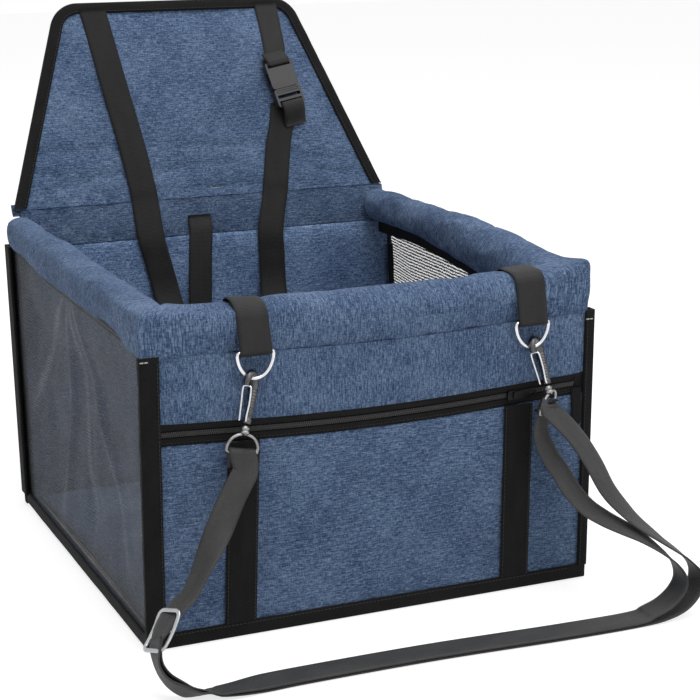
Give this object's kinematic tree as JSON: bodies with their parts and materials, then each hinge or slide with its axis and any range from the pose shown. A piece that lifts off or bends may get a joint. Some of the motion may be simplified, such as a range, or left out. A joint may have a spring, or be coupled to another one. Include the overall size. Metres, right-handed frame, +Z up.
{
  "type": "dog car seat",
  "caption": "Open soft car seat for a small dog: padded rolled rim, mesh sides, zipped front pocket, backrest flap that folds over, strap buckle and a clip-on lead.",
  "frame": {"origin": "on the underside of the floor, in the middle of the width and of the depth at the floor", "axes": "+X to the right as the seat is seen from its pocket side, -Y out of the pocket side, +Z up; the backrest flap is on the +Y side"},
  "size_m": [0.4722, 0.6252, 0.474],
  "materials": {
    "blue_canvas": "heathered denim-blue canvas, matt, with fine pale and navy flecks along the weave",
    "blue_lining": "the same blue canvas inside, matt",
    "black_tape": "ribbed black binding tape, matt",
    "black_webbing": "woven black webbing, slight sheen",
    "grey_mesh": "open grey mesh cloth",
    "bright_steel": "bright plated wire",
    "dark_hook_metal": "dark plated casting, semi-gloss",
    "stiff_board": "stiff hidden board",
    "pale_tube": "stiff pale hidden tube",
    "black_plastic": "moulded black plastic, slight sheen"
  },
  "bodies": {
    "seat": {"front_rim_sleeve": "blue_canvas", "left_rim_sleeve": "blue_canvas", "right_rim_sleeve": "blue_canvas", "pocket_panel": "blue_canvas", "upper_front_panel": "blue_canvas", "front_panel": "blue_lining", "floor_cover": "blue_lining", "floor_liner": "blue_lining", "back_cover": "blue_lining", "back_band": "blue_lining", "zipper_tape": "black_tape", "zipper_chain": "black_tape", "front_bottom_tape": "black_tape", "back_bottom_tape": "black_tape", "left_bottom_tape": "black_tape", "right_bottom_tape": "black_tape", "left_front_corner_tape": "black_tape", "right_front_corner_tape": "black_tape", "left_back_corner_tape": "black_tape", "right_back_corner_tape": "black_tape", "left_inner_tape": "black_tape", "right_inner_tape": "black_tape", "left_pocket_band": "black_webbing", "right_pocket_band": "black_webbing", "strap_loop": "black_webbing", "tether_strap": "black_webbing", "left_ring_loop": "black_webbing", "right_ring_loop": "black_webbing", "lead_strap": "black_webbing", "lead_return_strap": "black_webbing", "left_mesh_panel": "grey_mesh", "right_mesh_panel": "grey_mesh", "lead_slider": "bright_steel", "base_board": "stiff_board", "back_board": "stiff_board", "front_rim_tube": "pale_tube", "left_rim_tube": "pale_tube", "right_rim_tube": "pale_tube"},
    "flap": {"flap_cover": "blue_canvas", "flap_board": "stiff_board", "flap_binding": "black_tape", "flap_left_strap": "black_webbing", "flap_right_strap": "black_webbing", "buckle_short_strap": "black_webbing", "buckle_female": "black_plastic"},
    "buckle_tongue": {"buckle_male": "black_plastic", "buckle_loop": "black_webbing"},
    "buckle_left_prong": {"buckle_left_prong": "black_plastic"},
    "buckle_right_prong": {"buckle_right_prong": "black_plastic"},
    "zipper_slider": {"zipper_slider": "dark_hook_metal"},
    "zipper_pull": {"zipper_pull": "dark_hook_metal"},
    "left_ring": {"left_d_ring": "bright_steel", "left_swivel_eye": "bright_steel"},
    "left_snap": {"left_snap_hook": "dark_hook_metal"},
    "left_gate": {"left_snap_gate": "bright_steel"},
    "right_ring": {"right_d_ring": "bright_steel", "right_swivel_eye": "bright_steel"},
    "right_snap": {"right_snap_hook": "dark_hook_metal"},
    "right_gate": {"right_snap_gate": "bright_steel"}
  },
  "joints": [
    {"name": "flap_fold", "type": "hinge", "parent": "seat", "child": "flap", "pos_m": [0, 0.219, 0.2845], "axis": [1, 0, 0], "range_deg": [-8, 112]},
    {"name": "buckle_release", "type": "slide", "parent": "flap", "child": "buckle_tongue", "axis": [0.1908, -0.3914, -0.9002], "range_m": [0, 0.025]},
    {"name": "left_prong_press", "type": "hinge", "parent": "buckle_tongue", "child": "buckle_left_prong", "pos_m": [0.09656, 0.25221, 0.38445], "axis": [0, 0.9171, -0.3987], "range_deg": [0, 6], "stiffness_Nm_per_rad": 0.05},
    {"name": "right_prong_press", "type": "hinge", "parent": "buckle_tongue", "child": "buckle_right_prong", "pos_m": [0.1081, 0.2531, 0.38651], "axis": [0, -0.9171, 0.3987], "range_deg": [0, 6], "stiffness_Nm_per_rad": 0.05},
    {"name": "zipper_slide", "type": "slide", "parent": "seat", "child": "zipper_slider", "axis": [1, 0, 0], "range_m": [-0.295, 0.048]},
    {"name": "zipper_pull_swing", "type": "hinge", "parent": "zipper_slider", "child": "zipper_pull", "pos_m": [0.1246, -0.20375, 0.17602], "axis": [0, 0, -1], "range_deg": [0, 75]},
    {"name": "left_ring_swing", "type": "hinge", "parent": "seat", "child": "left_ring", "pos_m": [-0.1076, -0.206, 0.24], "axis": [-1, 0, 0], "range_deg": [0, 25], "deforming": ["lead_strap"]},
    {"name": "left_snap_turn", "type": "hinge", "parent": "left_ring", "child": "left_snap", "pos_m": [-0.116, -0.211, 0.1812], "axis": [0.1487, 0.1528, 0.977], "range_deg": [-2, 8]},
    {"name": "left_gate_open", "type": "hinge", "parent": "left_snap", "child": "left_gate", "pos_m": [-0.11726, -0.21313, 0.19124], "axis": [-0.7983, 0.6016, 0.0274], "range_deg": [0, 10], "stiffness_Nm_per_rad": 0.02},
    {"name": "right_ring_swing", "type": "hinge", "parent": "seat", "child": "right_ring", "pos_m": [0.1394, -0.206, 0.2392], "axis": [-1, 0, 0], "range_deg": [0, 25], "deforming": ["lead_strap", "lead_return_strap"]},
    {"name": "right_snap_turn", "type": "hinge", "parent": "right_ring", "child": "right_snap", "pos_m": [0.156, -0.211, 0.1822], "axis": [-0.3199, 0.1527, 0.935], "range_deg": [-6, 8]},
    {"name": "right_gate_open", "type": "hinge", "parent": "right_snap", "child": "right_gate", "pos_m": [0.15039, -0.21326, 0.1906], "axis": [-0.7486, 0.5641, -0.3483], "range_deg": [0, 10], "stiffness_Nm_per_rad": 0.02}
  ]
}
